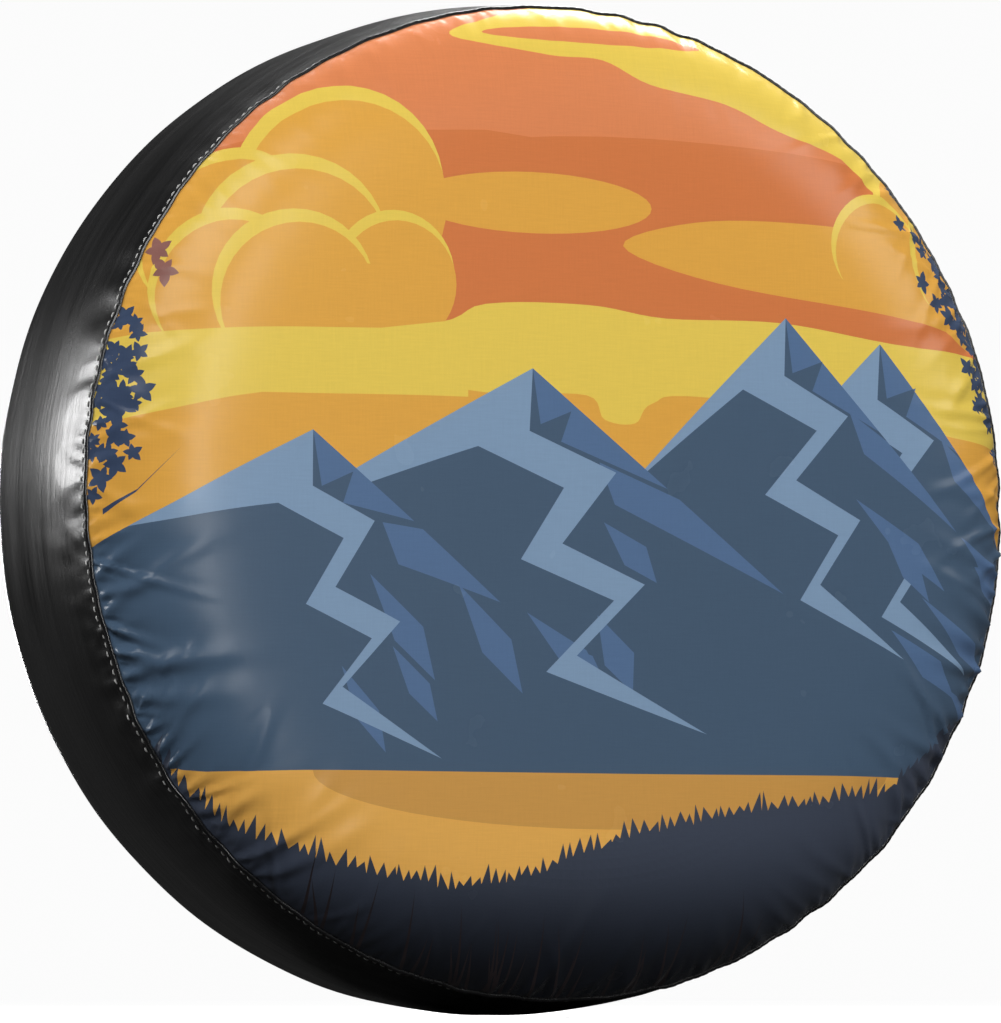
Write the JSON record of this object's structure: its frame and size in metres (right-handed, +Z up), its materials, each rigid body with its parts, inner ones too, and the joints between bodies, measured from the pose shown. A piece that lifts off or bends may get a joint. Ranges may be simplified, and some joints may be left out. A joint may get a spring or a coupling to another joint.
{
  "type": "spare tyre cover",
  "caption": "Round cloth cover stretched over a rear-mounted spare tyre: printed face, piped seam, black side band with an elastic drawcord hem and a buckled rear strap.",
  "frame": {"origin": "centre of the plane where the inside of the face rests on the tyre's outer sidewall", "axes": "+Y from the printed face towards the rear of the tyre, along its axle line; +Z up; +X to the right of somebody looking at the printed face"},
  "size_m": [0.737, 0.2671, 0.737],
  "materials": {
    "printed_cloth": "printed polyester, semi-matt, fine weave",
    "black_vinyl": "glossy black PVC leather, fine grain",
    "white_elastic": "knitted elastic, matt",
    "black_cord": "braided polyester",
    "nickel": "nickel plated",
    "black_plastic": "moulded, satin",
    "spring_steel": "bright wire",
    "black_webbing": "ribbed polypropylene webbing"
  },
  "bodies": {
    "cover": {"face_panel": "printed_cloth", "face_piping": "black_vinyl", "side_band": "black_vinyl", "hem_elastic": "white_elastic", "drawcord": "black_cord", "eyelet_left": "nickel", "eyelet_right": "nickel", "eyelet_washer_left": "nickel", "eyelet_washer_right": "nickel", "cord_end_left": "black_plastic", "cord_end_right": "black_plastic", "strap_left": "black_webbing", "strap_right": "black_webbing", "strap_patch_left": "black_vinyl", "strap_patch_right": "black_vinyl", "strap_keeper": "black_plastic", "buckle_socket": "black_plastic", "buckle_plug": "black_plastic"},
    "cord_lock": {"cord_lock_body": "black_plastic", "cord_lock_spring": "spring_steel"},
    "lock_button": {"cord_lock_button": "black_plastic"},
    "prong_upper": {"buckle_prong_upper": "black_plastic"},
    "prong_lower": {"buckle_prong_lower": "black_plastic"}
  },
  "joints": [
    {"name": "cord_lock_slide", "type": "slide", "parent": "cover", "child": "cord_lock", "axis": [0, 0, -1], "range_m": [0, 0.03]},
    {"name": "lock_button_press", "type": "slide", "parent": "cord_lock", "child": "lock_button", "axis": [0, -1, 0], "range_m": [0, 0.004], "stiffness_N_per_m": 400, "springref_m": -0.003, "deforming": ["cord_lock_spring"]},
    {"name": "prong_upper_squeeze", "type": "hinge", "parent": "cover", "child": "prong_upper", "pos_m": [0.013, 0.2447, -0.0865], "axis": [0, -1, 0], "range_deg": [0, 9], "stiffness_Nm_per_rad": 0.5, "springref_deg": -2.86},
    {"name": "prong_lower_squeeze", "type": "hinge", "parent": "cover", "child": "prong_lower", "pos_m": [0.013, 0.2447, -0.1035], "axis": [0, 1, 0], "range_deg": [0, 9]}
  ],
  "couplings": [
    {"joint": "prong_lower_squeeze", "follows": "prong_upper_squeeze", "ratio": 1}
  ]
}
